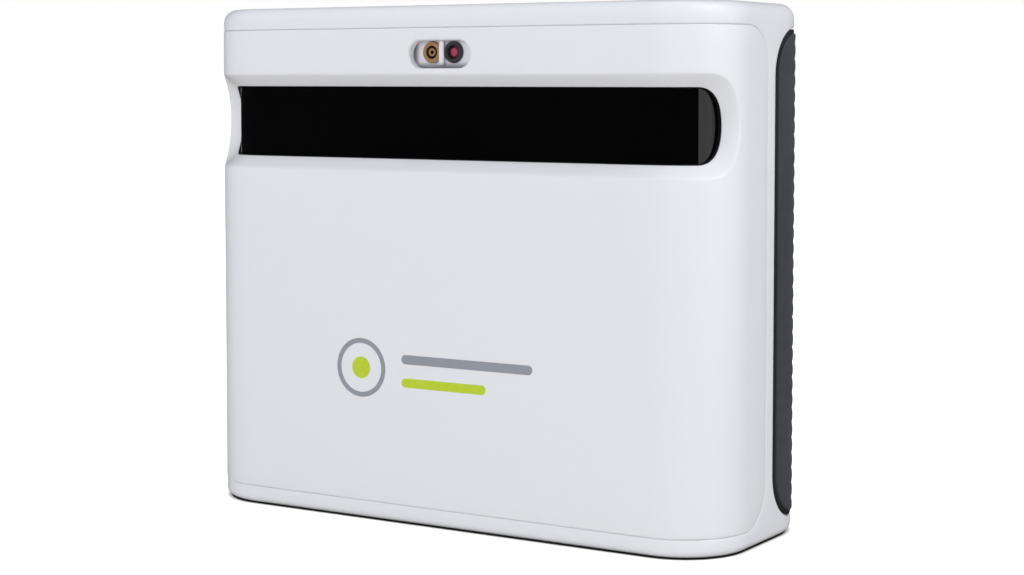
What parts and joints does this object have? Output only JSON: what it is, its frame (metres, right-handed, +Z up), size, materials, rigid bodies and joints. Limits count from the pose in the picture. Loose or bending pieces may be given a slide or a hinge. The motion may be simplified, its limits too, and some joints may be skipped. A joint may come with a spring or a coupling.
{
  "type": "golf launch monitor",
  "caption": "Upright box golf launch monitor with a dark wrap-round optical window, an aiming laser aperture, ribbed side grips and rear controls.",
  "frame": {"origin": "on the standing surface, under the middle of the body", "axes": "+Z up; the window faces -Y; +X is to the right seen from the front"},
  "size_m": [0.1724, 0.0641, 0.146],
  "materials": {
    "white_shell": "satin",
    "grip_rubber": "matte, ribbed",
    "black_rubber": "matte",
    "window_acrylic": "polished, opaque to the eye",
    "well_white": "matte",
    "brass": "turned",
    "black_plastic": "satin",
    "grey_plastic": "satin",
    "pink_lens": "polished",
    "clear_plastic": "clear",
    "circuit_board": "solder mask",
    "aluminium": "satin",
    "steel": "plated",
    "coated_glass": "coated",
    "chip_black": "moulded",
    "cell_wrap": "shrink film",
    "amber_film": "film"
  },
  "bodies": {
    "housing": {"front_cover": "white_shell", "rear_housing": "white_shell", "grip_right": "grip_rubber", "grip_left": "grip_rubber", "base_pad": "black_rubber", "window_pane": "window_acrylic", "window_gasket": "black_rubber", "aperture_insert": "well_white", "laser_barrel": "brass", "laser_diode": "steel", "receiver_tube": "black_plastic", "receiver_lens": "pink_lens", "receiver_chip": "chip_black", "aperture_board": "circuit_board", "optics_bracket": "aluminium", "main_board": "circuit_board", "heat_spreader": "aluminium", "radio_module": "steel", "tilt_sensor": "chip_black", "antenna_strip": "amber_film", "battery_tray": "black_plastic", "battery_cell_1": "cell_wrap", "battery_cell_2": "cell_wrap", "control_panel": "grey_plastic", "control_board": "circuit_board", "button_switch": "chip_black", "slide_switch_body": "steel", "usb_socket": "steel", "light_pipe": "clear_plastic", "housing_screw_1": "steel", "board_screw_1": "steel", "flash_led_1": "clear_plastic", "housing_screw_2": "steel", "board_screw_2": "steel", "flash_led_2": "clear_plastic", "housing_screw_3": "steel", "board_screw_3": "steel", "flash_led_3": "clear_plastic", "housing_screw_4": "steel", "board_screw_4": "steel", "flash_led_4": "clear_plastic", "bracket_screw_1": "steel", "lens_holder_1": "black_plastic", "lens_barrel_1": "black_plastic", "front_lens_1": "coated_glass", "image_sensor_1": "chip_black", "camera_board_1": "circuit_board", "ribbon_cable_1": "amber_film", "flash_board_1": "circuit_board", "bracket_screw_2": "steel", "lens_holder_2": "black_plastic", "lens_barrel_2": "black_plastic", "front_lens_2": "coated_glass", "image_sensor_2": "chip_black", "camera_board_2": "circuit_board", "ribbon_cable_2": "amber_film", "flash_board_2": "circuit_board"},
    "power_button": {"power_button": "black_plastic"},
    "mode_knob": {"mode_knob": "black_plastic"}
  },
  "joints": [
    {"name": "power_button_press", "type": "slide", "parent": "housing", "child": "power_button", "axis": [0, -1, 0], "range_m": [0, 0.0008], "stiffness_N_per_m": 1500, "springref_m": -0.0005},
    {"name": "mode_knob_slide", "type": "slide", "parent": "housing", "child": "mode_knob", "axis": [1, 0, 0], "range_m": [0, 0.004]}
  ]
}
